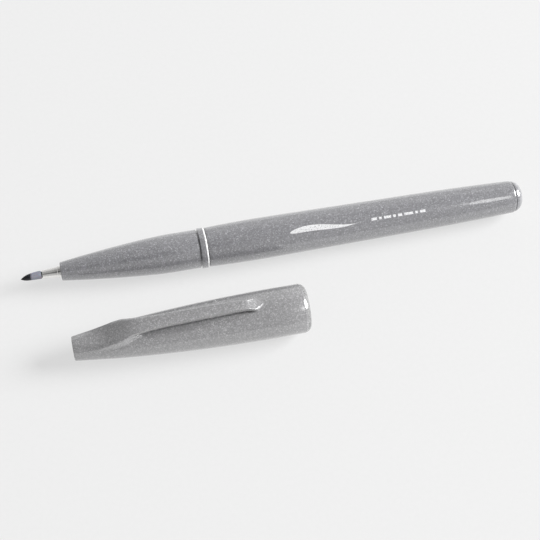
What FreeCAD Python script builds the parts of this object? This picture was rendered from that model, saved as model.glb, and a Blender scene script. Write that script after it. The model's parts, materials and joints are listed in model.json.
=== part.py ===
import FreeCAD, Part
import Sketcher
import math
import os
import re

# Brush-tip marker with its cap pulled off and lying beside it.
# Frame: +X runs along the pen from the brush tip to the tail, the cap lies on the -Y side,
# +Z is up, and the origin is the middle of the footprint, on the surface that both lie on.
# Pen pieces are drawn with X measured from the brush tip, cap pieces with X measured from
# the cap's closed end, and each piece's Placement then puts it where it lies. Millimetres.

SIZES = {
    # where the two halves lie
    "pen_length": 135.0,
    "pen_axis_height": 5.46,
    "cap_length": 59.5,
    "cap_axis_height": 6.38,
    "axis_spacing": 22.3,
    "cap_setback": 10.4,
    # brush tip
    "tip_swell_x": 2.0,
    "tip_swell_radius": 0.85,
    "tip_swell_rise": 0.15,
    "tip_shoulder_x": 5.15,
    "tip_radius": 1.07,
    "tip_back_x": 5.3,
    "tip_back_radius": 0.95,
    "neck_radius": 0.78,
    "flex_x": 6.0,
    "flex_ball_radius": 0.86,
    # metal ferrule
    "ferrule_front": 5.6,
    "ferrule_front_radius": 1.07,
    "ferrule_collar_x": 9.5,
    "ferrule_cone_radius": 1.4,
    "ferrule_collar_radius": 1.52,
    "ferrule_mouth_radius": 0.92,
    "ferrule_bore_radius": 0.8,
    "ferrule_bore_x": 7.0,
    "ferrule_shank_radius": 1.45,
    "ferrule_end": 17.5,
    # ink path
    "shank_front": 7.05,
    "shank_radius": 0.78,
    "feed_front": 17.6,
    "feed_end": 62.0,
    "feed_radius": 0.75,
    "reservoir_front": 50.0,
    "reservoir_end": 121.5,
    "reservoir_radius": 3.3,
    "reservoir_hole_radius": 0.77,
    "wrap_front": 50.5,
    "wrap_end": 121.0,
    "wrap_inner_radius": 3.31,
    "wrap_outer_radius": 3.42,
    # nib holder
    "holder_front": 18.1,
    "holder_radius": 2.0,
    "holder_flange_front": 44.05,
    "holder_flange_radius": 3.4,
    "holder_end": 46.5,
    "holder_bore_radius": 0.78,
    # grip section
    "section_front": 10.3,
    "nose_bore_radius": 1.47,
    "nose_face_radius": 2.1,
    "nose_edge_x": 10.65,
    "nose_edge_radius": 2.42,
    "nose_edge_round": 0.4,
    "grip_end": 34.3,
    "grip_end_radius": 4.9,
    "grip_rise": 0.21,
    "land_start": 39.2,
    "land_radius": 5.07,
    "collar_start": 46.4,
    "collar_radius": 5.31,
    "collar_chamfer_x": 47.9,
    "collar_end": 48.2,
    "collar_end_radius": 5.14,
    "spigot_radius": 4.13,
    "spigot_end": 58.2,
    "section_bore_radius": 3.45,
    "section_bore_x": 44.0,
    "holder_seat_radius": 2.02,
    "holder_seat_x": 18.0,
    # barrel
    "barrel_front": 48.3,
    "barrel_face_radius": 5.04,
    "barrel_edge_x": 48.55,
    "barrel_edge_radius": 5.17,
    "belly_x": 61.0,
    "belly_radius": 5.46,
    "taper_start": 70.0,
    "taper_start_radius": 5.41,
    "taper_end": 105.0,
    "taper_end_radius": 5.03,
    "tail_x": 131.8,
    "tail_radius": 4.36,
    "tail_rise": 0.1,
    "barrel_end": 132.3,
    "barrel_end_radius": 4.2,
    "barrel_bore_radius": 4.15,
    "rear_bore_x": 112.0,
    "rear_bore_radius": 3.45,
    # tail plug
    "plug_front": 122.0,
    "plug_spigot_radius": 3.43,
    "plug_head_x": 132.4,
    "plug_head_radius": 4.15,
    "plug_dome_x": 134.55,
    "plug_dome_radius": 2.5,
    "plug_edge_round": 2.6,
    # cap shell
    "cap_face_radius": 3.05,
    "cap_edge_x": 0.3,
    "cap_edge_radius": 3.36,
    "cap_edge_round": 0.34,
    "cap_bow_end": 52.0,
    "cap_radius": 6.38,
    "cap_lip_x": 58.6,
    "cap_lip_radius": 5.62,
    "cap_lip_round": 0.95,
    "cap_bore_radius": 5.11,
    "cap_bore_x": 50.0,
    "cap_leadin_x": 58.9,
    "cap_leadin_radius": 5.45,
    "cap_hollow_x": 3.0,
    "cap_hollow_radius": 2.42,
    "cap_floor_x": 1.5,
    "cap_floor_radius": 1.6,
    # sealing sleeve in the cap
    "sleeve_base_x": 3.1,
    "sleeve_base_radius": 2.34,
    "sleeve_waist_x": 12.0,
    "sleeve_waist_radius": 3.3,
    "sleeve_step_x": 20.0,
    "sleeve_radius": 3.8,
    "sleeve_mouth_x": 30.0,
    "sleeve_seal_x": 28.0,
    "sleeve_seal_radius": 3.24,
    "sleeve_throat_x": 24.0,
    "sleeve_well_radius": 2.6,
    "sleeve_well_x": 9.0,
    "sleeve_floor_x": 4.6,
    "sleeve_floor_radius": 1.7,
    # clip
    "clip_start": 0.15,
    "clip_start_height": 3.2,
    "clip_start_half": 1.65,
    "clip_root_wide_x": 9.5,
    "clip_root_half": 2.95,
    "hinge_x": 13.0,
    "hinge_height": 5.7,
    "hinge_half": 2.35,
    "hinge_radius": 0.525,
    "hinge_gap": 0.06,
    "clip_root_rise": 0.12,
    "arm_rise": 0.55,
    "arm_waist_x": 17.0,
    "arm_waist_half": 2.0,
    "arm_narrow_x": 26.0,
    "arm_narrow_half": 1.8,
    "arm_neck_x": 43.5,
    "arm_neck_half": 1.52,
    "arm_top_x": 44.0,
    "arm_top_height": 8.5,
    "arm_under_height": 7.3,
    "arm_flare_x": 46.0,
    "arm_flare_half": 1.72,
    "arm_end_x": 48.3,
    "arm_end_height": 7.5,
    "arm_end_half": 0.45,
    "arm_crest_x": 46.6,
    "arm_crest_height": 8.25,
    "arm_foot_start": 45.2,
    "arm_foot_end": 47.8,
    "arm_foot_height": 6.7,
}

doc = FreeCAD.newDocument("brush_marker")


def make_sheet():
    """Put every driving dimension in the sheet, as plain numbers with word aliases."""
    sheet = doc.addObject("Spreadsheet::Sheet", "Sizes")
    for row, (alias, value) in enumerate(SIZES.items(), start=1):
        sheet.set(f"A{row}", alias)
        sheet.set(f"B{row}", str(value))
        sheet.setAlias(f"B{row}", alias)
    doc.recompute()
    return sheet


sheet = make_sheet()


def bound(text):
    """Turn a formula over plain dimension names into one that reads the sheet."""
    return re.sub(r"[a-z_]+", lambda word: "Sizes." + word[0] if word[0] in SIZES else word[0], text)


def number(text):
    """The present value of a formula."""
    return float(sheet.evalExpression(bound(text)))


def make_body(label):
    body = doc.addObject("PartDesign::Body", label)
    body.Label = label
    return body


def plane_of(body, role):
    return next(item for item in body.Origin.OriginFeatures if item.Role == role)


def make_sketch(body, name, role):
    sketch = body.newObject("Sketcher::SketchObject", name)
    sketch.AttachmentSupport = [(plane_of(body, role), "")]
    sketch.MapMode = "FlatFace"
    return sketch


def arc_between(start, end, radius, side):
    """A short arc of a given radius; side +1 bulges to the left of start -> end."""
    chord = end - start
    half = chord.Length / 2
    left = FreeCAD.Vector(-chord.y, chord.x, 0).normalize()
    drop = math.sqrt(max(radius * radius - half * half, 0.0))
    middle = (start + end) / 2
    centre = middle - left * (drop * side)
    crest = centre + left * (radius * side)
    return Part.Arc(start, crest, end)


def draw_outline(sketch, corners):
    """Close an outline through the corners and bind each size to the sheet.

    A corner is (x, y) or (x, y, radius, side): the last two bend the edge that leaves it.
    """
    first = sketch.GeometryCount
    points = [FreeCAD.Vector(number(c[0]), number(c[1]), 0) for c in corners]
    count = len(corners)
    for index, corner in enumerate(corners):
        start = points[index]
        end = points[(index + 1) % count]
        if len(corner) == 4:
            sketch.addGeometry(arc_between(start, end, number(corner[2]), corner[3]))
        else:
            sketch.addGeometry(Part.LineSegment(start, end))
    ends = {}
    for index in range(count):
        geometry = first + index
        start_point = sketch.getPoint(geometry, 1)
        forward = (start_point - points[index]).Length < 1e-6
        ends[index] = (1, 2) if forward else (2, 1)
    for index in range(count):
        following = (index + 1) % count
        joined = Sketcher.Constraint(
            "Coincident", first + index, ends[index][1], first + following, ends[following][0]
        )
        sketch.addConstraint(joined)
    for index, corner in enumerate(corners):
        vertex = (first + index, ends[index][0])
        bind_coordinate(sketch, vertex, "DistanceX", corner[0], points[index].x, -2)
        bind_coordinate(sketch, vertex, "DistanceY", corner[1], points[index].y, -1)
        if len(corner) == 4:
            size = Sketcher.Constraint("Radius", first + index, number(corner[2]))
            bind(sketch, sketch.addConstraint(size), corner[2])


def bind_coordinate(sketch, vertex, kind, text, value, axis):
    """Hold one coordinate of a corner: on the axis where it is zero, else by a bound distance."""
    if text == "0":
        sketch.addConstraint(Sketcher.Constraint("PointOnObject", vertex[0], vertex[1], axis))
        return
    distance = Sketcher.Constraint(kind, -1, 1, vertex[0], vertex[1], value)
    bind(sketch, sketch.addConstraint(distance), text)


def bind(sketch, constraint, text):
    sketch.setExpression(f"Constraints[{constraint}]", bound(text))


def turn(body, name, corners, kind="PartDesign::Revolution"):
    """Revolve an outline about the piece's long axis, adding or cutting."""
    sketch = make_sketch(body, name + "_outline", "XZ_Plane")
    draw_outline(sketch, corners)
    feature = body.newObject(kind, name)
    feature.Profile = sketch
    feature.ReferenceAxis = (sketch, ["H_Axis"])
    feature.Angle = 360
    sketch.Visibility = False
    return feature


def place(body, x, y, z):
    """Move a finished piece to where it lies, with formulas over the sheet."""
    for letter, text in zip("xyz", (x, y, z)):
        body.setExpression(f"Placement.Base.{letter}", bound(text))


def place_on_pen(body):
    place(body, "-pen_length / 2", "(axis_spacing + cap_radius - belly_radius) / 2", "pen_axis_height")


def place_on_cap(body):
    across = "-(axis_spacing - cap_radius + belly_radius) / 2"
    place(body, "cap_setback - pen_length / 2", across, "cap_axis_height")


def turned_on_pen(label, corners):
    body = make_body(label)
    turn(body, label + "_turned", corners)
    place_on_pen(body)
    return body


def flat_end_radius(x_start, r_start, x_end, r_end):
    """Formula for an arc that ends parallel to the axis."""
    rise = f"({r_end} - {r_start})"
    return f"(({x_end} - {x_start})^2 + {rise}^2) / (2 * abs({rise}))"


def rise_radius(x_start, r_start, x_end, r_end, rise):
    """Formula for an arc that stands a given rise above its chord."""
    chord_squared = f"(({x_end} - {x_start})^2 + ({r_end} - {r_start})^2)"
    return f"({chord_squared} / 4 + {rise}^2) / (2 * {rise})"


# ---------------------------------------------------------------- pen pieces

def brush_tip():
    """Flexible tip: a swollen point, a neck and the ball that it flexes on in the ferrule."""
    swell = rise_radius("0", "0", "tip_swell_x", "tip_swell_radius", "tip_swell_rise")
    ball_x = "flex_x - sqrt(flex_ball_radius^2 - neck_radius^2)"
    return turned_on_pen("brush_tip", [
        ("0", "0", swell, 1),
        ("tip_swell_x", "tip_swell_radius"),
        ("tip_shoulder_x", "tip_radius"),
        ("tip_back_x", "tip_back_radius"),
        ("tip_back_x", "neck_radius"),
        (ball_x, "neck_radius", "flex_ball_radius", 1),
        ("flex_x + flex_ball_radius", "0"),
    ])


def nib_ferrule():
    """Polished metal cone with a small collar and a shank that sits in the section's nose."""
    return turned_on_pen("nib_ferrule", [
        ("ferrule_front", "ferrule_mouth_radius"),
        ("ferrule_front", "ferrule_front_radius"),
        ("ferrule_collar_x", "ferrule_cone_radius"),
        ("ferrule_collar_x", "ferrule_collar_radius"),
        ("section_front", "ferrule_collar_radius"),
        ("section_front", "ferrule_shank_radius"),
        ("ferrule_end", "ferrule_shank_radius"),
        ("ferrule_end", "ferrule_bore_radius"),
        ("ferrule_bore_x", "ferrule_bore_radius"),
        ("ferrule_bore_x", "ferrule_mouth_radius"),
    ])


def rod(label, front, end, radius):
    """A plain round rod on the pen's axis."""
    return turned_on_pen(label, [
        (front, "0"),
        (front, radius),
        (end, radius),
        (end, "0"),
    ])


def nib_holder():
    """Bush that carries the feed rod through the section, with a locating flange."""
    return turned_on_pen("nib_holder", [
        ("holder_front", "holder_bore_radius"),
        ("holder_front", "holder_radius"),
        ("holder_flange_front", "holder_radius"),
        ("holder_flange_front", "holder_flange_radius"),
        ("holder_end", "holder_flange_radius"),
        ("holder_end", "holder_bore_radius"),
    ])


def ink_reservoir():
    """Fibre rod that holds the ink, pierced at the front by the feed rod."""
    return turned_on_pen("ink_reservoir", [
        ("reservoir_front", "reservoir_hole_radius"),
        ("reservoir_front", "reservoir_radius"),
        ("reservoir_end", "reservoir_radius"),
        ("reservoir_end", "0"),
        ("feed_end + 0.1", "0"),
        ("feed_end + 0.1", "reservoir_hole_radius"),
    ])


def reservoir_wrap():
    """Film sleeve round the reservoir."""
    return turned_on_pen("reservoir_wrap", [
        ("wrap_front", "wrap_inner_radius"),
        ("wrap_front", "wrap_outer_radius"),
        ("wrap_end", "wrap_outer_radius"),
        ("wrap_end", "wrap_inner_radius"),
    ])


def grip_section():
    """Bowed grip, the land that the cap seats on, the stop collar and the barrel spigot."""
    grip = rise_radius("nose_edge_x", "nose_edge_radius", "grip_end", "grip_end_radius", "grip_rise")
    ease = flat_end_radius("grip_end", "grip_end_radius", "land_start", "land_radius")
    return turned_on_pen("grip_section", [
        ("section_front", "nose_bore_radius"),
        ("section_front", "nose_face_radius", "nose_edge_round", 1),
        ("nose_edge_x", "nose_edge_radius", grip, 1),
        ("grip_end", "grip_end_radius", ease, 1),
        ("land_start", "land_radius"),
        ("collar_start", "land_radius"),
        ("collar_start", "collar_radius"),
        ("collar_chamfer_x", "collar_radius"),
        ("collar_end", "collar_end_radius"),
        ("collar_end", "spigot_radius"),
        ("spigot_end", "spigot_radius"),
        ("spigot_end", "section_bore_radius"),
        ("section_bore_x", "section_bore_radius"),
        ("section_bore_x", "holder_seat_radius"),
        ("holder_seat_x", "holder_seat_radius"),
        ("holder_seat_x", "nose_bore_radius"),
    ])


def barrel_tube():
    """Barrel with its widest girth just behind the seam and a long taper to the tail."""
    front_bow = flat_end_radius("barrel_edge_x", "barrel_edge_radius", "belly_x", "belly_radius")
    rear_bow = flat_end_radius("belly_x", "belly_radius", "taper_start", "taper_start_radius")
    tail_bow = rise_radius("taper_end", "taper_end_radius", "tail_x", "tail_radius", "tail_rise")
    return turned_on_pen("barrel_tube", [
        ("barrel_front", "barrel_bore_radius"),
        ("barrel_front", "barrel_face_radius"),
        ("barrel_edge_x", "barrel_edge_radius", front_bow, 1),
        ("belly_x", "belly_radius", rear_bow, 1),
        ("taper_start", "taper_start_radius"),
        ("taper_end", "taper_end_radius", tail_bow, 1),
        ("tail_x", "tail_radius"),
        ("barrel_end", "barrel_end_radius"),
        ("barrel_end", "rear_bore_radius"),
        ("rear_bore_x", "rear_bore_radius"),
        ("rear_bore_x", "barrel_bore_radius"),
    ])


def tail_plug():
    """Plug that closes the barrel behind the reservoir, its crown a shallow spherical cap."""
    crown_depth = "(pen_length - plug_dome_x)"
    crown = f"({crown_depth}^2 + plug_dome_radius^2) / (2 * {crown_depth})"
    return turned_on_pen("tail_plug", [
        ("plug_front", "0"),
        ("plug_front", "plug_spigot_radius"),
        ("plug_head_x", "plug_spigot_radius"),
        ("plug_head_x", "plug_head_radius", "plug_edge_round", 1),
        ("plug_dome_x", "plug_dome_radius", crown, 1),
        ("pen_length", "0"),
    ])


# ---------------------------------------------------------------- cap pieces

def cap_shell():
    """Bowed cap, its hollow and the moulded root of the clip."""
    body = make_body("cap_shell")
    bow = flat_end_radius("cap_edge_x", "cap_edge_radius", "cap_bow_end", "cap_radius")
    turn(body, "cap_outside", [
        ("0", "0"),
        ("0", "cap_face_radius", "cap_edge_round", 1),
        ("cap_edge_x", "cap_edge_radius", bow, 1),
        ("cap_bow_end", "cap_radius"),
        ("cap_lip_x", "cap_radius", "cap_lip_round", 1),
        ("cap_length", "cap_lip_radius"),
        ("cap_length", "0"),
    ])
    clip_root(body)
    hollow = flat_end_radius("cap_hollow_x", "cap_hollow_radius", "cap_bore_x", "cap_bore_radius")
    turn(body, "cap_hollow", [
        ("cap_floor_x", "0"),
        ("cap_floor_x", "cap_floor_radius"),
        ("cap_hollow_x", "cap_hollow_radius", hollow, 1),
        ("cap_bore_x", "cap_bore_radius"),
        ("cap_leadin_x", "cap_bore_radius"),
        ("cap_length + 0.1", "cap_leadin_radius"),
        ("cap_length + 0.1", "0"),
    ], "PartDesign::Groove")
    place_on_cap(body)
    return body


def clip_root(body):
    """Add the clip's root to the cap: a plan outline padded up, then trimmed to its side view."""
    plan = make_sketch(body, "clip_root_plan", "XY_Plane")
    draw_outline(plan, [
        ("clip_start", "-clip_start_half"),
        ("clip_start", "clip_start_half"),
        ("clip_root_wide_x", "clip_root_half"),
        ("hinge_x", "hinge_half"),
        ("hinge_x", "-hinge_half"),
        ("clip_root_wide_x", "-clip_root_half"),
    ])
    pad = body.newObject("PartDesign::Pad", "clip_root_pad")
    pad.Profile = plan
    pad.setExpression("Length", bound("arm_top_height"))
    trim = make_sketch(body, "clip_root_trim", "XZ_Plane")
    top = "hinge_height + hinge_radius"
    ramp = rise_radius("clip_start", "clip_start_height", "hinge_x", top, "clip_root_rise")
    draw_outline(trim, [
        ("clip_start - 1", "clip_start_height"),
        ("clip_start", "clip_start_height", ramp, 1),
        ("hinge_x", top),
        ("hinge_x + 1", top),
        ("hinge_x + 1", "arm_top_height + 1"),
        ("clip_start - 1", "arm_top_height + 1"),
    ])
    cut_through(body, "clip_root_top", trim)
    seat = make_sketch(body, "hinge_seat_outline", "XZ_Plane")
    recess = "hinge_radius + hinge_gap"
    draw_circle(seat, "hinge_x", "hinge_height", recess)
    cut_through(body, "hinge_seat", seat)


def draw_circle(sketch, x, y, radius):
    centre = FreeCAD.Vector(number(x), number(y), 0)
    circle = sketch.addGeometry(Part.Circle(centre, FreeCAD.Vector(0, 0, 1), number(radius)))
    bind_coordinate(sketch, (circle, 3), "DistanceX", x, centre.x, -2)
    bind_coordinate(sketch, (circle, 3), "DistanceY", y, centre.y, -1)
    bind(sketch, sketch.addConstraint(Sketcher.Constraint("Radius", circle, number(radius))), radius)


def cut_through(body, name, sketch):
    """Cut an outline right through the piece, both ways from its plane."""
    pocket = body.newObject("PartDesign::Pocket", name)
    pocket.Profile = sketch
    pocket.SideType = "Symmetric"
    pocket.Type = "ThroughAll"
    return pocket


def cap_inner_sleeve():
    """Sealing sleeve: it closes over the section's nose and keeps the tip wet."""
    body = make_body("cap_inner_sleeve")
    turn(body, "sleeve_turned", [
        ("sleeve_base_x", "0"),
        ("sleeve_base_x", "sleeve_base_radius"),
        ("sleeve_waist_x", "sleeve_waist_radius"),
        ("sleeve_step_x", "sleeve_radius"),
        ("sleeve_mouth_x", "sleeve_radius"),
        ("sleeve_mouth_x", "sleeve_seal_radius"),
        ("sleeve_seal_x", "sleeve_seal_radius"),
        ("sleeve_throat_x", "sleeve_well_radius"),
        ("sleeve_well_x", "sleeve_well_radius"),
        ("sleeve_floor_x", "sleeve_floor_radius"),
        ("sleeve_floor_x", "0"),
    ])
    place_on_cap(body)
    return body


def cap_clip():
    """Spring arm of the clip: its side view padded, then trimmed to its plan outline."""
    body = make_body("cap_clip")
    side = make_sketch(body, "arm_side", "XZ_Plane")
    top = "hinge_height + hinge_radius"
    under = "hinge_height - hinge_radius"
    over_arc = rise_radius("hinge_x", top, "arm_top_x", "arm_top_height", "arm_rise")
    under_arc = rise_radius("hinge_x", under, "arm_top_x", "arm_under_height", "arm_rise")
    draw_outline(side, [
        ("hinge_x", under, "hinge_radius * 1.002", 1),
        ("hinge_x", top, over_arc, 1),
        ("arm_top_x", "arm_top_height"),
        ("arm_crest_x", "arm_crest_height"),
        ("arm_end_x", "arm_end_height"),
        ("arm_foot_end", "arm_foot_height"),
        ("arm_foot_start", "arm_foot_height"),
        ("arm_top_x", "arm_under_height", under_arc, -1),
    ])
    pad = body.newObject("PartDesign::Pad", "arm_bar")
    pad.Profile = side
    pad.SideType = "Symmetric"
    pad.setExpression("Length", bound("4 * hinge_half"))
    plan = make_sketch(body, "arm_plan", "XY_Plane")
    margin = "2 * hinge_half + 1"
    draw_outline(plan, [
        ("hinge_x - 2", "-(" + margin + ")"),
        ("hinge_x - 2", margin),
        ("arm_end_x + 2", margin),
        ("arm_end_x + 2", "-(" + margin + ")"),
    ])
    upper = [
        ("hinge_x - 1", "hinge_half"),
        ("hinge_x", "hinge_half"),
        ("arm_waist_x", "arm_waist_half"),
        ("arm_narrow_x", "arm_narrow_half"),
        ("arm_neck_x", "arm_neck_half"),
        ("arm_flare_x", "arm_flare_half"),
        ("arm_end_x + 0.1", "arm_end_half"),
    ]
    lower = [(x, "-" + half) for x, half in reversed(upper)]
    draw_outline(plan, upper + lower)
    cut_through(body, "arm_sides", plan)
    place_on_cap(body)
    return body


# ---------------------------------------------------------------- build and write

def build_all():
    pieces = [
        brush_tip(),
        nib_ferrule(),
        rod("nib_shank", "shank_front", "ferrule_end", "shank_radius"),
        rod("feed_rod", "feed_front", "feed_end", "feed_radius"),
        nib_holder(),
        ink_reservoir(),
        reservoir_wrap(),
        grip_section(),
        barrel_tube(),
        tail_plug(),
        cap_shell(),
        cap_inner_sleeve(),
        cap_clip(),
    ]
    doc.recompute()
    return pieces


def check_all(pieces):
    """Stop before anything is written if a feature failed or a piece isn't one valid solid."""
    failed = [item.Label for item in doc.Objects if "Invalid" in item.State or "Error" in item.State]
    if failed:
        raise RuntimeError(f"these features failed: {failed}")
    for piece in pieces:
        if piece.Shape.isNull() or not piece.Shape.isValid():
            raise RuntimeError(f"{piece.Label} has no valid shape")
        if len(piece.Shape.Solids) != 1:
            raise RuntimeError(f"{piece.Label} isn't one solid")


def write_all(pieces):
    os.makedirs("parts", exist_ok=True)
    for piece in pieces:
        piece.Shape.exportStep(os.path.join("parts", piece.Label + ".step"))
        box = piece.Shape.BoundBox
        print(f"{piece.Label:18s} {piece.Shape.Volume:9.2f} mm3  "
              f"x {box.XMin:7.2f} {box.XMax:7.2f}  y {box.YMin:7.2f} {box.YMax:7.2f}  "
              f"z {box.ZMin:6.2f} {box.ZMax:6.2f}")


pieces = build_all()
check_all(pieces)
write_all(pieces)
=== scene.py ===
import json
import math

import bmesh
import bpy
from mathutils import Matrix, Vector


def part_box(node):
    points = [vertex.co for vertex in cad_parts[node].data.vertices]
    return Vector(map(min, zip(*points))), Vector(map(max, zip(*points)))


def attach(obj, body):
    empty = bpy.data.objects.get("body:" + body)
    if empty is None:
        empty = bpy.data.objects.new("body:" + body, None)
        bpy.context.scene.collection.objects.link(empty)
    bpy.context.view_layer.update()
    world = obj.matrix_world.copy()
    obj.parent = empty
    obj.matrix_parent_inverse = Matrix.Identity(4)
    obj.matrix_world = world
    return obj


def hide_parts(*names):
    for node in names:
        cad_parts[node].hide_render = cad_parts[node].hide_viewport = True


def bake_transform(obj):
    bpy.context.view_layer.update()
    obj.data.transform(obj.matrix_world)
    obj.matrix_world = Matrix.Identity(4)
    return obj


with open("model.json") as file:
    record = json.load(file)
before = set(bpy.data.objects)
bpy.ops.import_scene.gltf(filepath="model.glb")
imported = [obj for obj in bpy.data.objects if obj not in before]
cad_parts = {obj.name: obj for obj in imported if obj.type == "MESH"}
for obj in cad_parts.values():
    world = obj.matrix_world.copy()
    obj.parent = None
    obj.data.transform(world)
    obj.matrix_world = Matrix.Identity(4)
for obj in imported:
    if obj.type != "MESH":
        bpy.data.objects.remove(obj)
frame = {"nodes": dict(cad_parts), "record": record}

# Looks of a brush-tip marker and its cap. Lengths below are in millimetres and MM turns them
# into the frame's metres. A pen piece is drawn with x from the brush tip, a cap piece with x
# from the cap's closed end, both round their own axis.

MM = 0.001
TURNS = 160                      # facets round a turned piece
FINE_TURNS = 96                  # facets round the thin ferrule and tip
CORNER_STEPS = 4                 # steps round a softened corner
MERGE_DISTANCE = 1e-7            # metres: points nearer than this become one
SHARP_ANGLE = math.radians(40)   # an edge that turns more than this stays crisp

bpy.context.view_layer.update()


# ------------------------------------------------------------------ places, from the frame

def axis_start(first_node, round_node):
    """Start of a round part's axis: the lowest x of one node, the middle of another."""
    low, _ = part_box(first_node)
    around_low, around_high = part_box(round_node)
    middle = (around_low + around_high) / 2
    return Vector((low.x, middle.y, middle.z))


PEN = axis_start("brush_tip", "barrel_tube")
CAP = axis_start("cap_shell", "cap_shell")
PEN_LENGTH = (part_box("tail_plug")[1].x - PEN.x) / MM
CAP_RADIUS = CAP.z / MM
BELLY_RADIUS = PEN.z / MM


# ------------------------------------------------------------------ outlines

def rise_points(start, end, rise, count=24):
    """Points of a shallow circular arc that stands `rise` to the left of its chord."""
    (x0, y0), (x1, y1) = start, end
    chord = math.hypot(x1 - x0, y1 - y0)
    if not rise:
        return [start]
    nx, ny = -(y1 - y0) / chord, (x1 - x0) / chord
    radius = (chord * chord / 4 + rise * rise) / (2 * rise)
    points = []
    for step in range(count):
        t = step / count
        along = (t - 0.5) * chord
        lift = math.copysign(math.sqrt(radius * radius - along * along), radius)
        lift -= radius - rise
        points.append((x0 + (x1 - x0) * t + nx * lift, y0 + (y1 - y0) * t + ny * lift))
    return points


def line_points(start, end, steps):
    """Points along a straight run, all but its end."""
    (x0, y0), (x1, y1) = start, end
    return [(x0 + (x1 - x0) * step / steps, y0 + (y1 - y0) * step / steps)
            for step in range(steps)]


def softened(corners):
    """Closed outline from corners (x, r, edge, rise).

    `edge` is how far the corner is rounded, and `rise` bows the run that leaves it.
    """
    count = len(corners)
    path = []
    for index, (x, r, edge, rise) in enumerate(corners):
        following = corners[(index + 1) % count]
        previous = corners[index - 1]
        here = Vector((x, r))
        if edge:
            back = (Vector(previous[:2]) - here).normalized() * edge
            ahead = (Vector(following[:2]) - here).normalized() * edge
            for step in range(CORNER_STEPS + 1):
                t = step / CORNER_STEPS
                point = here + back * (1 - t) ** 2 + ahead * t ** 2
                path.append((point.x, point.y))
        arc = rise_points((x, r), following[:2], rise)
        path.extend(arc[1:] if edge else arc)
    return path


def new_object(name, verts, faces, smooth=True):
    mesh = bpy.data.meshes.new(name)
    mesh.from_pydata([tuple(v) for v in verts], [], faces)
    mesh.update()
    bm = bmesh.new()
    bm.from_mesh(mesh)
    bmesh.ops.remove_doubles(bm, verts=bm.verts, dist=MERGE_DISTANCE)
    bmesh.ops.recalc_face_normals(bm, faces=bm.faces)
    bm.to_mesh(mesh)
    bm.free()
    if smooth:
        mesh.shade_smooth()
        mesh.set_sharp_from_angle(angle=SHARP_ANGLE)
    piece = bpy.data.objects.new(name, mesh)
    bpy.context.scene.collection.objects.link(piece)
    return piece


def lathe(name, origin, outline, turns=TURNS, bend=None):
    """Turn a closed outline of (x, radius) round the axis through `origin`."""
    verts = []
    for x, r in outline:
        for turn in range(turns):
            angle = 2 * math.pi * turn / turns
            point = Vector((x, max(r, 0) * math.cos(angle), max(r, 0) * math.sin(angle)))
            if bend:
                point = bend(point)
            verts.append(origin + point * MM)
    rows = len(outline)
    faces = []
    for row in range(rows):
        below = (row + 1) % rows
        if outline[row][1] <= 0 and outline[below][1] <= 0:
            continue
        for turn in range(turns):
            side = (turn + 1) % turns
            faces.append((row * turns + turn, row * turns + side,
                          below * turns + side, below * turns + turn))
    return new_object(name, verts, faces)


def ring_faces(rings, count):
    """Quads that join each ring of `count` points to the next one."""
    faces = []
    for row in range(rings - 1):
        for column in range(count):
            side = (column + 1) % count
            faces.append((row * count + column, row * count + side,
                          (row + 1) * count + side, (row + 1) * count + column))
    return faces


# ------------------------------------------------------------------ node helpers

def shader(name):
    material = bpy.data.materials.new(name)
    material.use_nodes = True
    nodes = material.node_tree.nodes
    return material, nodes, material.node_tree.links, nodes["Principled BSDF"]


def coordinates(nodes, links, scale=(1, 1, 1)):
    """Object coordinates in metres, stretched by `scale` before a texture reads them."""
    source = nodes.new("ShaderNodeTexCoord")
    mapping = nodes.new("ShaderNodeMapping")
    mapping.inputs["Scale"].default_value = scale
    links.new(source.outputs["Object"], mapping.inputs["Vector"])
    return mapping.outputs["Vector"]


def noise(nodes, links, vector, scale, detail=2.0, roughness=0.5):
    texture = nodes.new("ShaderNodeTexNoise")
    texture.inputs["Scale"].default_value = scale
    texture.inputs["Detail"].default_value = detail
    texture.inputs["Roughness"].default_value = roughness
    links.new(vector, texture.inputs["Vector"])
    return texture.outputs["Fac"]


def flakes(nodes, links, vector, size):
    """Random colour per cell of about `size`, split into channels."""
    cells = nodes.new("ShaderNodeTexVoronoi")
    cells.inputs["Scale"].default_value = 1 / size
    links.new(vector, cells.inputs["Vector"])
    split = nodes.new("ShaderNodeSeparateColor")
    links.new(cells.outputs["Color"], split.inputs["Color"])
    return split


def spread(nodes, links, value, low, high):
    """A value from 0 to 1, spread from `low` to `high`."""
    node = nodes.new("ShaderNodeMapRange")
    node.inputs["To Min"].default_value = low
    node.inputs["To Max"].default_value = high
    links.new(value, node.inputs["Value"])
    return node.outputs["Result"]


def grey(value):
    return (value, value, value)


def ramp(nodes, links, value, stops):
    """Colour ramp over a value; each stop is (place, colour)."""
    node = nodes.new("ShaderNodeValToRGB")
    elements = node.color_ramp.elements
    while len(elements) < len(stops):
        elements.new(0.5)
    for element, (place, colour) in zip(elements, stops):
        element.position = place
        element.color = (*colour, 1)
    links.new(value, node.inputs["Fac"])
    return node.outputs["Color"]


def mix(nodes, links, kind, amount, first, second):
    """Mix two colours; each of the three inputs is a link or a constant."""
    node = nodes.new("ShaderNodeMix")
    node.data_type = "RGBA"
    node.blend_type = kind
    for socket, value in (("Factor", amount), ("A", first), ("B", second)):
        target = next(s for s in node.inputs if s.name == socket and s.type in ("VALUE", "RGBA")
                      and (s.type == "VALUE") == (socket == "Factor"))
        if isinstance(value, bpy.types.NodeSocket):
            links.new(value, target)
        elif socket == "Factor":
            target.default_value = value
        else:
            target.default_value = (*value, 1)
    return next(s for s in node.outputs if s.type == "RGBA")


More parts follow.
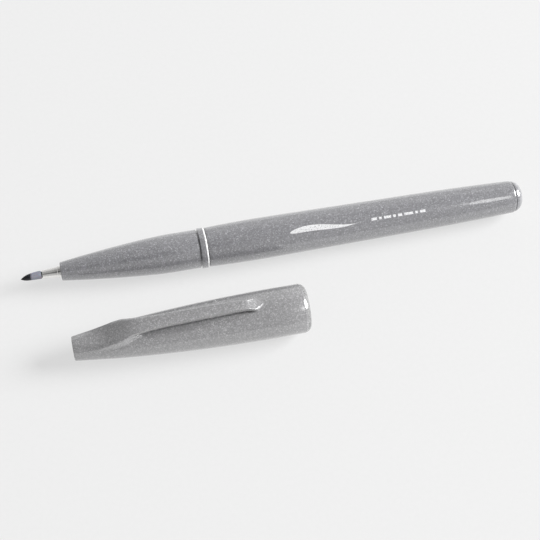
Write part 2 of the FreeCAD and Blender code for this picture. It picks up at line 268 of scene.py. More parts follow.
def bumps(nodes, links, principled, layers):
    """Chain bump nodes: (height, strength, distance in mm)."""
    normal = None
    for height, strength, distance in layers:
        node = nodes.new("ShaderNodeBump")
        node.inputs["Strength"].default_value = strength
        node.inputs["Distance"].default_value = distance * MM
        links.new(height, node.inputs["Height"])
        if normal:
            links.new(normal, node.inputs["Normal"])
        normal = node.outputs["Normal"]
    links.new(normal, principled.inputs["Normal"])


def give(piece, material):
    piece.data.materials.clear()
    piece.data.materials.append(material)


# ------------------------------------------------------------------ materials

FLAKE_SIZE = 0.27                # a flake of the pearl filling
PAINTED_GLINT_SIZE = 0.22                # a flake painted brighter as a painted glint
SKIN_GRAIN = 0.35                # the faint unevenness of a moulded skin
FLOW_SCALE = (60, 900, 900)      # flow marks are long along the pen


def pearl_plastic(name, base):
    """Pearl-filled moulded plastic: fine flakes, a few painted brighter as painted glints, and a
    gloss skin over them.
    """
    material, nodes, links, principled = shader(name)
    grains = coordinates(nodes, links)
    flake_value = flakes(nodes, links, grains, FLAKE_SIZE * MM)
    speckle = ramp(nodes, links, flake_value.outputs["Red"], [
        (0.0, [c * 0.80 for c in base]),
        (0.6, base),
        (0.9, [c * 1.15 for c in base]),
        (1.0, [c * 1.40 for c in base]),
    ])
    # painted glints: a few flakes get a lighter base colour to stand in for flakes catching the
    # light
    glint_value = flakes(nodes, links, grains, PAINTED_GLINT_SIZE * MM)
    painted_glint = ramp(nodes, links, glint_value.outputs["Red"], [(0.90, grey(0)), (0.97, grey(0.16))])
    flow = coordinates(nodes, links, FLOW_SCALE)
    streaks = noise(nodes, links, flow, 1.0, 3.0, 0.6)
    streak_tone = ramp(nodes, links, streaks, [(0.32, grey(0.97)), (0.68, grey(1.03))])
    toned = mix(nodes, links, "MULTIPLY", 1.0, speckle, streak_tone)
    links.new(mix(nodes, links, "ADD", 1.0, toned, painted_glint), principled.inputs["Base Color"])
    rough = spread(nodes, links, flake_value.outputs["Green"], 0.16, 0.26)
    links.new(rough, principled.inputs["Roughness"])
    principled.inputs["IOR"].default_value = 2.0
    principled.inputs["Coat Weight"].default_value = 1.0
    principled.inputs["Coat IOR"].default_value = 1.6
    principled.inputs["Coat Roughness"].default_value = 0.03
    skin = noise(nodes, links, grains, 1 / (SKIN_GRAIN * MM), 2.0)
    bumps(nodes, links, principled, [(flake_value.outputs["Blue"], 0.05, 0.02), (skin, 0.06, 0.02)])
    return material


TURNED_SCALE = (9000, 250, 250)  # turning marks are thin along the pen


def polished_metal():
    """Turned and polished ferrule metal with fine rings round it."""
    material, nodes, links, principled = shader("ferrule_metal")
    rings = coordinates(nodes, links, TURNED_SCALE)
    turned = noise(nodes, links, rings, 1.0, 3.0)
    tone = ramp(nodes, links, turned, [(0.3, (0.90, 0.89, 0.87)), (0.7, (0.97, 0.96, 0.94))])
    links.new(tone, principled.inputs["Base Color"])
    principled.inputs["Metallic"].default_value = 0.82
    rough = spread(nodes, links, turned, 0.03, 0.07)
    links.new(rough, principled.inputs["Roughness"])
    bumps(nodes, links, principled, [(turned, 0.04, 0.01)])
    return material


INK_START, INK_END = 0.25, 5.8   # the run of the tip over which its colour ramp is laid
INK_WANDER = 0.5                 # how far the ink's edge strays
INK_PATCH = 0.9                  # the size of its tongues
FELT_SCALE = (700, 5000, 5000)   # the tip's fibres lie along it


def soft_tip():
    """Felted soft tip: black where the ink has wet it, with a bleeding edge, lilac grey behind, and
    darker again at its rear end where it goes into the ferrule.
    """
    material, nodes, links, principled = shader("soft_tip")
    place = coordinates(nodes, links)
    split = nodes.new("ShaderNodeSeparateXYZ")
    links.new(place, split.inputs["Vector"])
    wander = noise(nodes, links, place, 1 / (INK_PATCH * MM), 3.0)
    shift = nodes.new("ShaderNodeMath")
    shift.operation = "MULTIPLY_ADD"
    shift.inputs[1].default_value = INK_WANDER * MM
    links.new(wander, shift.inputs[0])
    links.new(split.outputs["X"], shift.inputs[2])
    along = nodes.new("ShaderNodeMapRange")
    along.inputs["From Min"].default_value = PEN.x + INK_START * MM
    along.inputs["From Max"].default_value = PEN.x + INK_END * MM
    links.new(shift.outputs["Value"], along.inputs["Value"])
    ink = ramp(nodes, links, along.outputs["Result"], [
        (0.0, (0.008, 0.008, 0.010)),
        (0.455, (0.012, 0.012, 0.016)),
        (0.475, (0.12, 0.12, 0.15)),
        (0.53, (0.28, 0.28, 0.335)),
        (0.9, (0.27, 0.27, 0.32)),
        # the last stop darkens the rear end of the tip, where it goes into the ferrule's mouth
        (1.0, (0.05, 0.05, 0.06)),
    ])
    fibres = coordinates(nodes, links, FELT_SCALE)
    fibre = noise(nodes, links, fibres, 1.0, 3.0)
    tone = ramp(nodes, links, fibre, [(0.3, (0.85, 0.85, 0.87)), (0.7, (1.1, 1.1, 1.1))])
    links.new(mix(nodes, links, "MULTIPLY", 1.0, ink, tone), principled.inputs["Base Color"])
    wet = ramp(nodes, links, along.outputs["Result"], [(0.3, grey(0.2)), (0.55, grey(0.5))])
    links.new(wet, principled.inputs["Roughness"])
    principled.inputs["Subsurface Weight"].default_value = 0.2
    principled.inputs["Subsurface Scale"].default_value = 0.6 * MM
    bumps(nodes, links, principled, [(fibre, 0.3, 0.03)])
    return material


HIGHLIGHT_PATCH = 0.5                  # size of a duller patch in the painted highlight


def painted_highlight_edge(name, dull, bright):
    """Painted highlight on an edge: its own tone, patchy between a duller and a brighter grey."""
    material, nodes, links, principled = shader(name)
    grains = coordinates(nodes, links)
    wear_and_highlight_patches = noise(nodes, links, grains, 1 / (HIGHLIGHT_PATCH * MM), 3.0, 0.6)
    # painted highlight: the edge's tone stands in for light caught on it
    tone = ramp(nodes, links, wear_and_highlight_patches, [(0.32, grey(dull)), (0.6, grey(bright))])
    links.new(tone, principled.inputs["Base Color"])
    principled.inputs["Roughness"].default_value = 0.22
    bumps(nodes, links, principled, [(wear_and_highlight_patches, 0.15, 0.01)])
    return material


FOIL_WEAR = 0.22                 # a break in the foil


def foil():
    """Hot-stamped silver foil with tiny breaks."""
    material, nodes, links, principled = shader("silver_foil")
    grains = coordinates(nodes, links)
    wear_and_highlight_patches = noise(nodes, links, grains, 1 / (FOIL_WEAR * MM), 3.0, 0.6)
    tone = ramp(nodes, links, wear_and_highlight_patches, [(0.36, (0.40, 0.40, 0.41)), (0.5, (0.88, 0.88, 0.89))])
    links.new(tone, principled.inputs["Base Color"])
    principled.inputs["Metallic"].default_value = 0.25
    rough = ramp(nodes, links, wear_and_highlight_patches, [(0.3, grey(0.5)), (0.7, grey(0.25))])
    links.new(rough, principled.inputs["Roughness"])
    bumps(nodes, links, principled, [(wear_and_highlight_patches, 0.3, 0.02)])
    return material


def inner_material(name, first, second, stretch, roughness):
    """Fibre, film or plain moulding that is hidden inside."""
    material, nodes, links, principled = shader(name)
    place = coordinates(nodes, links, stretch)
    grain = noise(nodes, links, place, 1.0, 4.0, 0.6)
    tone = ramp(nodes, links, grain, [(0.3, first), (0.7, second)])
    links.new(tone, principled.inputs["Base Color"])
    principled.inputs["Roughness"].default_value = roughness
    bumps(nodes, links, principled, [(grain, 0.3, 0.03)])
    return material


# ------------------------------------------------------------------ pen

def make_section(material):
    outline = softened([
        (10.3, 1.56, 0.03, 0),
        (10.3, 2.42, 0.22, 0),
        (10.62, 2.44, 0, 0.21),
        (34.3, 4.90, 0, 0.03),
        (39.2, 5.07, 0, 0),
        (45.98, 5.07, 0.05, 0),
        (46.06, 4.80, 0.03, 0),
        (46.34, 4.80, 0.03, 0),
        (46.42, 5.31, 0.07, 0),
        (47.80, 5.31, 0.05, 0),
        (48.15, 5.02, 0.03, 0),
        (48.2, 4.95, 0, 0),
        (48.2, 4.6, 0, 0),
        (48.0, 4.2, 0, 0),
        (20.0, 2.0, 0, 0),
        (11.4, 1.56, 0, 0),
    ])
    piece = lathe("section_skin", PEN, outline)
    give(piece, material)
    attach(piece, "pen")
    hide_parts("grip_section")


def make_collar_painted_highlight(material):
    """The collar's rear edge, painted bright all the way round as a painted highlight."""
    outline = softened([
        (47.76, 5.318, 0.02, 0),
        (47.86, 5.318, 0.04, 0),
        (48.20, 5.03, 0.03, 0),
        (48.20, 4.96, 0, 0),
        (48.12, 4.98, 0, 0),
        (47.78, 5.26, 0, 0),
    ])
    piece = lathe("collar_painted_highlight_ring", PEN, outline)
    give(piece, material)
    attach(piece, "pen")


# Where the barrel's outside changes its run: (x, radius).
BARREL_FRONT = (48.55, 5.17)
BARREL_BELLY = (61.0, BELLY_RADIUS)
BARREL_TAPER = (70.0, 5.41)
BARREL_TAIL = (105.0, 5.03)
BARREL_END = (131.8, 4.36)


def barrel_outline():
    """Outside of the barrel from the seam to the tail."""
    front = rise_points(BARREL_FRONT, BARREL_BELLY, 0.06)
    belly = rise_points(BARREL_BELLY, BARREL_TAPER, 0.01)
    taper = line_points(BARREL_TAPER, BARREL_TAIL, 12)
    tail = rise_points(BARREL_TAIL, BARREL_END, 0.1)
    return front + belly + taper + tail + [BARREL_END]


def make_barrel(material):
    path = [(48.32, 4.6), (48.32, 4.98), (48.36, 5.07), (48.44, 5.14)]
    path += barrel_outline()
    path += [(132.05, 4.33), (132.24, 4.25), (132.3, 4.15), (132.3, 3.6), (131.0, 3.5), (49.0, 3.8)]
    piece = lathe("barrel_skin", PEN, path)
    give(piece, material)
    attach(piece, "pen")
    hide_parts("barrel_tube")


def make_plug(material):
    dome = rise_points((132.62, 4.12), (134.55, 2.5), 0.36)
    crown = rise_points((134.55, 2.5), (PEN_LENGTH, 0.0), 0.1)
    path = [(122.0, 0.0), (122.0, 3.2), (122.4, 3.43), (132.40, 3.43), (132.42, 3.95)]
    path += [(132.48, 4.08)] + dome + crown + [(PEN_LENGTH, 0.0)]
    piece = lathe("plug_skin", PEN, path)
    give(piece, material)
    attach(piece, "pen")
    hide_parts("tail_plug")


def make_ferrule(material):
    outline = softened([
        (5.6, 0.93, 0.03, 0),
        (5.6, 1.07, 0.05, 0.02),
        (9.42, 1.38, 0.04, 0),
        (9.52, 1.50, 0.05, 0),
        (10.28, 1.50, 0.03, 0),
        (10.3, 1.44, 0, 0),
        (17.5, 1.44, 0.1, 0),
        (17.5, 0.81, 0, 0),
        (7.0, 0.81, 0, 0),
        (7.0, 0.93, 0, 0),
    ])
    piece = lathe("ferrule_skin", PEN, outline, FINE_TURNS)
    give(piece, material)
    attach(piece, "pen")
    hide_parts("nib_ferrule")


TIP_SIDE_SET = 0.42              # the worn tip leans this far to one side
TIP_BEND_START = 4.6             # ahead of this it starts to lean
TIP_BEND_POWER = 1.7             # how much of the lean comes near the point
TIP_HEEL_X = 6.0                 # the round heel that turns inside the ferrule's mouth
TIP_HEEL_RADIUS = 0.86
TIP_HEEL_START = 65              # degrees from the forward side, where the neck meets the heel


def lean(point):
    """The tip's set: it bows towards the cap's side as it nears the point."""
    reach = max(0.0, TIP_BEND_START - point.x) / TIP_BEND_START
    return Vector((point.x, point.y - TIP_SIDE_SET * reach ** TIP_BEND_POWER, point.z))


def make_tip(material):
    nose = rise_points((0.0, 0.0), (2.2, 0.84), 0.17, 28)
    flank = rise_points((2.2, 0.84), (5.1, 1.05), 0.04, 12)
    shoulder = [(5.1, 1.05), (5.2, 1.03), (5.28, 0.95), (5.31, 0.8), (5.34, 0.78), (5.62, 0.78)]
    path = nose + flank + shoulder
    heel_steps = 14
    for step in range(1, heel_steps):
        angle = math.radians(TIP_HEEL_START + (180 - TIP_HEEL_START) * step / heel_steps)
        path.append((TIP_HEEL_X - TIP_HEEL_RADIUS * math.cos(angle),
                     TIP_HEEL_RADIUS * math.sin(angle)))
    path.append((TIP_HEEL_X + TIP_HEEL_RADIUS, 0.0))
    piece = lathe("soft_tip_skin", PEN, path, FINE_TURNS, lean)
    give(piece, material)
    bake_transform(piece)
    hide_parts("brush_tip")


# ------------------------------------------------------------------ foil marks on the barrel

MARK_TILT = 27.0                 # degrees from straight up, towards the cap
FOIL_LIFT = 0.012                # how far the foil stands off the barrel
FOIL_DEPTH = 0.02                # its thickness
STROKE_START, STROKE_LENGTH = 69.8, 18.5
STROKE_HALF = 0.78               # half the stroke's width at its widest
STROKE_SWAY = 0.42               # how far its middle wanders
STROKE_EDGE = 0.02               # half the width that is left at its ends
STROKE_FILL = 0.94               # the part of its length that swells
BARS_START, BAR_GAP = 91.8, 0.62
BAR_HALF = 0.34                  # half the bars' height
BAR_WIDTHS = [1.5, 0.7, 1.9, 0.7, 1.1, 2.4, 0.7, 1.5]


def foil_patch(name, material, start, length, edges, columns):
    """A thin foil patch on the barrel; edges(t) gives its lower and upper side in mm."""
    rows = 4
    barrel = barrel_outline()
    verts = []
    for layer in (FOIL_LIFT, FOIL_LIFT - FOIL_DEPTH):
        for column in range(columns + 1):
            t = column / columns
            x = start + length * t
            low, high = edges(t)
            radius = line_value(barrel, x)
            for row in range(rows + 1):
                across = low + (high - low) * row / rows
                angle = math.radians(MARK_TILT) - across / radius
                reach = radius + layer
                point = Vector((x, -reach * math.sin(angle), reach * math.cos(angle)))
                verts.append(PEN + point * MM)
    width = rows + 1
    block = (columns + 1) * width
    faces = []
    for layer in range(2):
        for column in range(columns):
            for row in range(rows):
                a = layer * block + column * width + row
                faces.append((a, a + 1, a + 1 + width, a + width))
    rim = [column * width for column in range(columns + 1)]
    rim += [columns * width + row for row in range(1, rows + 1)]
    rim += [column * width + rows for column in range(columns - 1, -1, -1)]
    rim += [row for row in range(rows - 1, 0, -1)]
    for a, b in zip(rim, rim[1:] + rim[:1]):
        faces.append((a, b, b + block, a + block))
    piece = new_object(name, verts, faces)
    give(piece, material)
    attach(piece, "pen")


def stroke_edges(t):
    """A brush stroke: it swells quickly, thins and lifts to a point."""
    swell = 0.0
    if 0 < t < STROKE_FILL:
        swell = STROKE_HALF * math.sin(math.pi * min(1.0, t * 1.06) ** 0.62) ** 0.9
    middle = STROKE_SWAY * math.sin(2 * math.pi * t * 0.9)
    return middle - swell - STROKE_EDGE, middle + swell + STROKE_EDGE


def make_marks(material):
    """A brush stroke, then a row of plain bars where a line of small print would be."""
    foil_patch("foil_stroke", material, STROKE_START, STROKE_LENGTH, stroke_edges, 60)
    x = BARS_START
    for index, width in enumerate(BAR_WIDTHS):
        foil_patch(f"foil_bar_{index + 1}", material, x, width, lambda t: (-BAR_HALF, BAR_HALF), 4)
        x += width + BAR_GAP


# ------------------------------------------------------------------ cap

CAP_NOSE = 0.32                  # behind this the cap's side begins; ahead is its rounded end
CAP_BOW_END = 52.0               # the side bows outwards as far as this, then runs straight
BOW_START = (CAP_NOSE, 3.36)
BOW_RADIUS = (CAP_BOW_END - BOW_START[0]) ** 2 / (2 * (CAP_RADIUS - BOW_START[1]))


def cap_outside(x):
    """Radius of the cap's round body."""
    if x < CAP_BOW_END:
        return CAP_RADIUS - (CAP_BOW_END - x) ** 2 / (2 * BOW_RADIUS)
    return CAP_RADIUS


def blend_value(points, x):
    """Value through (x, value) points on a smooth curve that never overshoots them."""
    if x <= points[0][0]:
        return points[0][1]
    if x >= points[-1][0]:
        return points[-1][1]
    slopes = [(b[1] - a[1]) / (b[0] - a[0]) for a, b in zip(points, points[1:])]
    tangents = [slopes[0]]
    for before, after in zip(slopes, slopes[1:]):
        tangents.append(0.0 if before * after <= 0 else 2 * before * after / (before + after))
    tangents.append(slopes[-1])
    index = next(i for i in range(len(slopes)) if x <= points[i + 1][0])
    (x0, v0), (x1, v1) = points[index], points[index + 1]
    span = x1 - x0
    t = (x - x0) / span
    hermite = v0 * (2 * t ** 3 - 3 * t ** 2 + 1) + v1 * (3 * t ** 2 - 2 * t ** 3)
    return hermite + span * (tangents[index] * (t ** 3 - 2 * t ** 2 + t)
                             + tangents[index + 1] * (t ** 3 - t ** 2))


def spaced(start, end, steps):
    """Evenly spaced places from `start` to `end`, both of them included."""
    return [start + (end - start) * step / steps for step in range(steps + 1)]


def line_value(points, x):
    """Straight-line value through (x, value) points."""
    if x <= points[0][0]:
        return points[0][1]
    for (x0, v0), (x1, v1) in zip(points, points[1:]):
        if x <= x1:
            return v0 + (v1 - v0) * (x - x0) / (x1 - x0)
    return points[-1][1]


# The clip's section is a slightly dished top, two sloping shoulders and steep flanks. It grows
# out of the cap as the root, and goes on as the arm. Each list gives a size at places along the
# cap, (x, size): the top's height above the cap's axis, the half widths of the flat and of the
# shoulders, how far the shoulders drop, and how deep the dish is.
TOP_HEIGHT = [
    (0, 3.05), (5, 3.62), (8, 4.42), (11, 5.66), (13.5, 6.6), (16, 7.15), (20, 7.62), (25, 7.98),
    (35, 8.42), (42, 8.5), (43.5, 8.42), (44.7, 8.08), (46, 7.62), (47.2, 7.26), (48.25, 6.98),
]
FLAT_HALF = [
    (0, 0.8), (3, 1.2), (5, 1.6), (8, 2.1), (10.5, 2.3), (12.5, 2.25), (14.6, 1.95), (17, 1.75),
    (22.5, 1.47), (34, 1.36), (43, 1.17), (44.6, 1.25), (45.9, 1.38), (46.8, 0.95), (48.1, 0.06),
    (48.25, 0.04),
]
OUTER_HALF = [
    (0, 2.3), (3, 2.7), (5.4, 2.9), (8, 3.0), (10.5, 3.03), (12.5, 2.9), (14.6, 2.46), (17, 2.12),
    (22.5, 1.82), (34, 1.7), (43, 1.5), (44.6, 1.55), (45.9, 1.7), (46.8, 1.28), (48.1, 0.18),
    (48.25, 0.1),
]
SHOULDER_DROP = [
    (0, 1.0), (3, 1.0), (5, 0.88), (8, 0.6), (10.5, 0.49), (12.5, 0.43), (14.6, 0.34), (17, 0.25),
    (22.5, 0.235), (48.25, 0.22),
]
DISH = [
    (0, 0.0), (3, 0.05), (7, 0.26), (12, 0.30), (16, 0.17), (22, 0.12), (44, 0.10), (46, 0.04),
    (48.25, 0.0),
]
ROOT_FLARE = 0.1                 # how far the root's flank leans out in each millimetre down
ROOT_SIDE = math.radians(88)     # the root is all above this angle from straight up
ROOT_END = 16.4                  # behind this the root has gone under the arm
ROOT_SINK = [(12.3, 0.0), (13.2, 0.35), (16.5, 2.2)]      # the root dives under the arm
FAR_AWAY = 99.0
SHOULDER_BLEND, FLANK_BLEND, BODY_BLEND = 0.06, 0.2, 0.3  # width of each softened join


def soft_max(a, b, width):
    """The larger of two values, with the change-over softened over `width`."""
    gap = max(width - abs(a - b), 0.0) / width
    return max(a, b) + gap * gap * width / 4


def soft_min(a, b, width):
    return -soft_max(-a, -b, width)


def ray_to_line(angle, start, end):
    """Distance from the axis, `angle` from straight up, to the line through two (y, z) points."""
    dy, dz = end[0] - start[0], end[1] - start[1]
    across = dz * math.sin(angle) - dy * math.cos(angle)
    reach = dz * start[0] - dy * start[1]
    return reach / across if across * reach > 0 else FAR_AWAY


def root_reach(x, angle):
    """How far the clip's root reaches from the axis, `angle` from straight up."""
    angle = abs(angle)
    if angle > ROOT_SIDE:
        return 0.0
    top = blend_value(TOP_HEIGHT, x) - blend_value(ROOT_SINK, x)
    flat = (blend_value(FLAT_HALF, x), top)
    outer = (blend_value(OUTER_HALF, x), top - blend_value(SHOULDER_DROP, x))
    foot = (outer[0] + ROOT_FLARE, outer[1] - 1)
    aside = top * math.tan(angle) / flat[0]
    rise = (top - blend_value(DISH, x) * max(0.0, 1 - aside * aside)) / math.cos(angle)
    shoulder = ray_to_line(angle, flat, outer)
    flank = ray_to_line(angle, outer, foot)
    return soft_min(soft_min(rise, shoulder, SHOULDER_BLEND), flank, FLANK_BLEND)


TOP_EASE = [(0, 0.5), (4, 0.42), (8, 0.2), (12, 0.0)]     # the closed end is a little flat on top


def cap_surface(x, angle):
    """Radius of the cap's outside with the clip's root on it, `angle` from straight up."""
    body = cap_outside(x) - blend_value(TOP_EASE, x) * (1 + math.cos(angle)) / 2
    if x > ROOT_END:
        return body
    return soft_max(body, root_reach(x, angle), BODY_BLEND)


CAP_SIDES = 240                  # facets round the cap
CAP_CROWDING = 1.35              # above 1, they are closer together over the clip's root
ROOT_STATIONS_END = 16.2         # sections of the cap are close together as far as this
NOSE_RINGS = [(0.0, 0.34), (0.03, 0.2), (0.09, 0.1), (0.18, 0.03)]          # (x, inset)
LIP_RINGS = [(58.12, 0.0), (58.22, 0.03), (58.5, 0.15), (58.85, 0.34),      # (x, inset)
             (59.15, 0.55), (59.36, 0.76), (59.47, 0.9), (59.5, 0.98)]
BORE_END = 50.0                  # the parallel bore, from the lip, ends here
HOLLOW_END = (3.0, 2.42)         # (x, radius) where the narrowing hollow ends


def cap_angles():
    """Directions round the cap, closer together over the clip's root."""
    angles = []
    for step in range(CAP_SIDES):
        t = step / CAP_SIDES * 2 - 1
        angles.append(math.pi * math.copysign(abs(t) ** CAP_CROWDING, t))
    return angles


def cap_inside():
    """Outline of the cap's hollow, from its lip to its closed end."""
    bore = bore_radius()
    inside = [(59.5, bore + 0.34), (59.42, bore + 0.26), (58.9, bore)]
    inside += rise_points((BORE_END, bore), HOLLOW_END, -0.66, 20)
    return inside + [HOLLOW_END, (1.5, 1.6), (1.5, 0.0)]


def make_cap(material):
    angles = cap_angles()
    stations = spaced(CAP_NOSE, ROOT_STATIONS_END, 90)
    stations += spaced(ROOT_STATIONS_END, CAP_BOW_END, 40)[1:]
    rings = [[(x, cap_surface(CAP_NOSE, a) - inset) for a in angles] for x, inset in NOSE_RINGS]
    rings += [[(x, cap_surface(x, a)) for a in angles] for x in stations]
    rings += [[(x, CAP_RADIUS - inset)] * len(angles) for x, inset in LIP_RINGS]
    rings += [[place] * len(angles) for place in cap_inside()]
    verts = []
    for ring in rings:
        for (x, r), angle in zip(ring, angles):
            verts.append(CAP + Vector((x, r * math.sin(angle), r * math.cos(angle))) * MM)
    faces = ring_faces(len(rings), len(angles))
    faces.append(tuple(range(len(angles))))
    piece = new_object("cap_skin", verts, faces)
    give(piece, material)
    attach(piece, "cap")
    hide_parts("cap_shell")


def make_cap_painted_highlight(material):
    """The cap's rounded lip, given its own patchy tone all the way round as a painted highlight."""
    bore = bore_radius()
    proud, sunk = 0.012, 0.06
    face = [(58.62, 0.205), (58.85, 0.33), (59.15, 0.54), (59.36, 0.75), (59.46, 0.89)]
    outline = [(x + proud, CAP_RADIUS - inset + proud) for x, inset in face]
    outline += [(59.5, CAP_RADIUS - 0.97), (59.5, bore + 0.30), (59.4, bore + 0.34)]
    outline += [(x - sunk, CAP_RADIUS - inset - sunk) for x, inset in reversed(face)]
    piece = lathe("cap_painted_highlight_ring", CAP, outline)
    give(piece, material)
    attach(piece, "cap")


def bore_radius():
    """Radius of the cap's mouth, from the mount that states it."""
    mount = next(m for m in frame["record"]["mounts"] if m["name"] == "cap_mouth")
    return mount["dims"]["r_mm"]


ARM_START, ARM_NOSE, ARM_END = 9.0, 44.0, 48.25           # sections are closer on the nose
ARM_DEPTH = [(9.0, 1.3), (13.0, 1.15), (20.0, 1.15), (43.8, 1.2), (45.4, 1.12), (47.2, 0.7),
             (48.25, 0.45)]
ARM_SINK = [(9.0, 0.5), (12.3, 0.0)]                      # the arm comes up out of the root
ARM_UNEVEN = [(12.3, 0.0), (17.0, 1.0), (44.0, 1.0), (46.0, 0.0)]     # 0 even, 1 uneven
ARM_FLARE = 0.02                 # how far its flank leans out
BEVEL_INSET, BEVEL_DROP = 0.22, 0.17                      # extra bevel on the side facing the pen
CRISP_INSET, CRISP_DROP = 0.1, 0.06                       # what is left of it on the other side
RIM_EDGE, SHOULDER_EDGE, FOOT_EDGE = 0.07, 0.14, 0.12     # how far its corners are rounded
DISH_STEPS = 8
LONGEST_ROUNDING = 0.45          # the part of a side that one corner's rounding may take up


def round_corner(before, here, after, edge):
    """A corner of a section rounded off over `edge`."""
    here = Vector(here)
    back = Vector(before) - here
    ahead = Vector(after) - here
    back *= min(edge / back.length, LONGEST_ROUNDING)
    ahead *= min(edge / ahead.length, LONGEST_ROUNDING)
    points = []
    for step in range(CORNER_STEPS + 1):
        t = step / CORNER_STEPS
        points.append(here + back * (1 - t) ** 2 + ahead * t ** 2)
    return points


def arm_half(x, flat, drop):
    """Half of the arm's cross-section, above the cap's axis: from the middle out and back under."""
    top = blend_value(TOP_HEIGHT, x) - line_value(ARM_SINK, x)
    outer = blend_value(OUTER_HALF, x)
    bottom = top - line_value(ARM_DEPTH, x)
    dish = blend_value(DISH, x)
    rim, shoulder = (flat, top), (outer, top - drop)
    foot, under = (outer + ARM_FLARE, bottom), (0, bottom)
    half = []
    for step in range(DISH_STEPS):
        t = step / DISH_STEPS
        half.append(Vector((flat * t, top - dish * (1 - t ** 2))))
    half += round_corner(half[-1], rim, shoulder, RIM_EDGE)
    half += round_corner(rim, shoulder, foot, SHOULDER_EDGE)
    half += round_corner(shoulder, foot, under, FOOT_EDGE)
    half.append(Vector(under))
    return half


def arm_section(x):
    """The arm's cross-section: a wide bevel on the side facing the pen, a crisp one opposite."""
    flat = blend_value(FLAT_HALF, x)
    outer = blend_value(OUTER_HALF, x)
    drop = blend_value(SHOULDER_DROP, x)
    uneven = line_value(ARM_UNEVEN, x)
    bevelled = arm_half(x, flat - BEVEL_INSET * uneven, drop + BEVEL_DROP * uneven)
    crisp = arm_half(x, flat + (outer - CRISP_INSET - flat) * uneven,
                     drop + (CRISP_DROP - drop) * uneven)
    return bevelled + [Vector((-point.x, point.y)) for point in reversed(crisp[1:-1])]


def make_clip(material):
    stations = spaced(ARM_START, ARM_NOSE, 90) + spaced(ARM_NOSE, ARM_END, 50)[1:]
    sections = [arm_section(x) for x in stations]
    verts = []
    for x, section in zip(stations, sections):
        for y, z in section:
            verts.append(CAP + Vector((x, y, z)) * MM)
    count = len(sections[0])
    faces = [tuple(range(count)), tuple(range(len(verts) - count, len(verts)))]
    faces += ring_faces(len(sections), count)
    piece = new_object("clip_skin", verts, faces)
    give(piece, material)
    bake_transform(piece)
    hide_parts("cap_clip")


# ------------------------------------------------------------------ hidden pieces

def finish_hidden():
    """Materials for the CAD nodes that stay, all inside the pen or the cap."""
    felt = inner_material("inked_felt", (0.02, 0.02, 0.03), (0.07, 0.07, 0.09),
                          stretch=(900, 9000, 9000), roughness=0.8)
    fibre = inner_material("reservoir_fibre", (0.05, 0.05, 0.06), (0.16, 0.16, 0.18),
                           stretch=(500, 6000, 6000), roughness=0.85)
    film = inner_material("clear_film", (0.62, 0.62, 0.63), (0.78, 0.78, 0.79),
                          stretch=(700, 700, 700), roughness=0.3)
    natural = inner_material("natural_moulding", (0.60, 0.60, 0.58), (0.72, 0.72, 0.70),
                             stretch=(900, 900, 900), roughness=0.45)
    choices = {
        "nib_shank": felt,
        "feed_rod": felt,
        "ink_reservoir": fibre,
        "reservoir_wrap": film,
        "nib_holder": natural,
        "cap_inner_sleeve": natural,
    }
    for node, material in choices.items():
        give(frame["nodes"][node], material)


# ------------------------------------------------------------------ stage, light and camera

FLOOR_GLOW = 0.612               # a lit table: its own light keeps the shadows faint
FLOOR_HALF = 3.0                 # metres
FLOOR_GRAIN = 900.0
TENT_STRENGTH = 0.5


def make_floor():
    material, nodes, links, principled = shader("pale_floor")
    place = coordinates(nodes, links)
    grain = noise(nodes, links, place, FLOOR_GRAIN, 3.0)
    tone = ramp(nodes, links, grain, [(0.3, grey(0.208)), (0.7, grey(0.218))])
    links.new(tone, principled.inputs["Base Color"])
    principled.inputs["Roughness"].default_value = 0.9
    principled.inputs["Specular IOR Level"].default_value = 0.0
    principled.inputs["Emission Color"].default_value = (1, 1, 1, 1)
    principled.inputs["Emission Strength"].default_value = FLOOR_GLOW
    half = FLOOR_HALF
    corners = [(-half, -half, 0), (half, -half, 0), (half, half, 0), (-half, half, 0)]
    floor = new_object("floor", corners, [(0, 1, 2, 3)], smooth=False)
    give(floor, material)


def area_light(name, place, target, across, along, power):
    """An oval lamp aimed at `target`; `along` is its size on the side that lies along the pen."""
    light = bpy.data.lights.new(name, "AREA")
    light.shape = "ELLIPSE"
    light.size = across
    light.size_y = along
    light.energy = power
    back = (Vector(place) - Vector(target)).normalized()
    length_way = (Vector((1, 0, 0)) - back * back.x).normalized()
    lamp = bpy.data.objects.new(name, light)
    lamp.location = place
    lamp.rotation_mode = "QUATERNION"
    turned = Matrix((length_way.cross(back), length_way, back)).transposed()
    lamp.rotation_quaternion = turned.to_quaternion()
    bpy.context.scene.collection.objects.link(lamp)


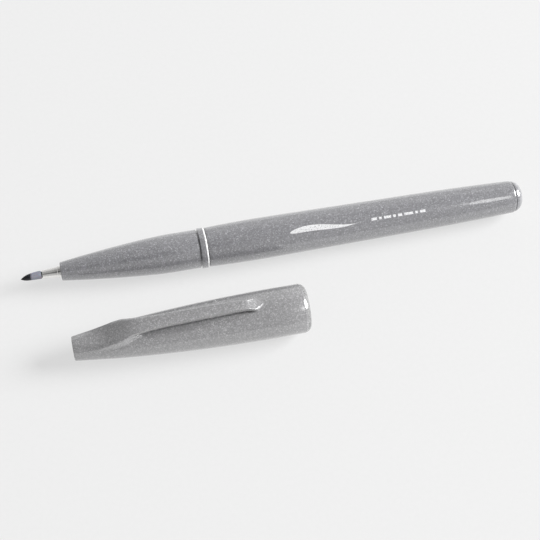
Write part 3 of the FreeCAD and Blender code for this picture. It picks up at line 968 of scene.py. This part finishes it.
def make_light():
    """A white tent, brightest near the table and dark where it opens for the camera, and lamps."""
    world = bpy.data.worlds.new("studio")
    world.use_nodes = True
    nodes, links = world.node_tree.nodes, world.node_tree.links
    way = nodes.new("ShaderNodeTexCoord").outputs["Generated"]
    split = nodes.new("ShaderNodeSeparateXYZ")
    links.new(way, split.inputs["Vector"])
    tent = ramp(nodes, links, split.outputs["Z"], [
        (0.0, grey(0.95)),
        (0.5, grey(0.85)),
        (0.87, grey(0.50)),
        (1.0, grey(0.42)),
    ])
    towards = nodes.new("ShaderNodeVectorMath")
    towards.operation = "DOT_PRODUCT"
    towards.inputs[1].default_value = camera_direction()
    links.new(way, towards.inputs[0])
    opening = ramp(nodes, links, towards.outputs["Value"], [(0.966, grey(1)), (0.978, grey(0.03))])
    sky = mix(nodes, links, "MULTIPLY", 1.0, tent, opening)
    links.new(sky, nodes["Background"].inputs["Color"])
    nodes["Background"].inputs["Strength"].default_value = TENT_STRENGTH
    bpy.context.scene.world = world
    area_light("side", (1.72, -0.03, 1.05), (0, 0, 0), across=1.1, along=1.1, power=74.0)
    area_light("rim", (0.20, 1.80, 1.00), (0, 0, 0), across=2.2, along=2.2, power=1.5)
    area_light("tail", (0.53, -0.52, 0.98), (0.06, 0, 0), across=0.42, along=0.10, power=0.36)
    bpy.context.scene.view_settings.view_transform = "Standard"


CAMERA_AZIMUTH = math.radians(-17.84)
CAMERA_ELEVATION = math.radians(62.48)
CAMERA_ROLL = math.radians(6.26)
CAMERA_DISTANCE = 303.2
CAMERA_LENS = 77.92
CAMERA_TARGET = (-4.31, 1.97, 5.46)       # a point on the pen


def camera_direction():
    """Direction from the object to the camera."""
    level = math.cos(CAMERA_ELEVATION)
    return Vector((math.sin(CAMERA_AZIMUTH) * level, -math.cos(CAMERA_AZIMUTH) * level,
                   math.sin(CAMERA_ELEVATION)))


def make_camera():
    """Camera aimed at a point on the pen, from the angle that the object is seen from."""
    back = camera_direction()
    data = bpy.data.cameras.new("camera")
    data.lens = CAMERA_LENS
    data.clip_start = 0.01
    camera = bpy.data.objects.new("camera", data)
    camera.rotation_mode = "QUATERNION"
    aim = (-back).to_track_quat("-Z", "Y").to_matrix().to_4x4()
    camera.rotation_quaternion = (aim @ Matrix.Rotation(CAMERA_ROLL, 4, "Z")).to_quaternion()
    camera.location = Vector(CAMERA_TARGET) * MM + back * (CAMERA_DISTANCE * MM)
    bpy.context.scene.collection.objects.link(camera)
    bpy.context.scene.camera = camera


# ------------------------------------------------------------------ build

make_camera()
make_floor()
make_light()

barrel_plastic = pearl_plastic("pearl_barrel", (0.238, 0.238, 0.251))
cap_plastic = pearl_plastic("pearl_cap", (0.288, 0.286, 0.292))
make_section(barrel_plastic)
# painted highlight: a pale ring on the collar's rear edge
make_collar_painted_highlight(painted_highlight_edge("collar_painted_highlight", 0.55, 0.80))
make_barrel(barrel_plastic)
make_plug(barrel_plastic)
make_ferrule(polished_metal())
make_tip(soft_tip())
make_marks(foil())
make_cap(cap_plastic)
# painted highlight on the cap's lip
make_cap_painted_highlight(painted_highlight_edge("lip_painted_highlight", 0.14, 0.32))
make_clip(cap_plastic)
finish_hidden()
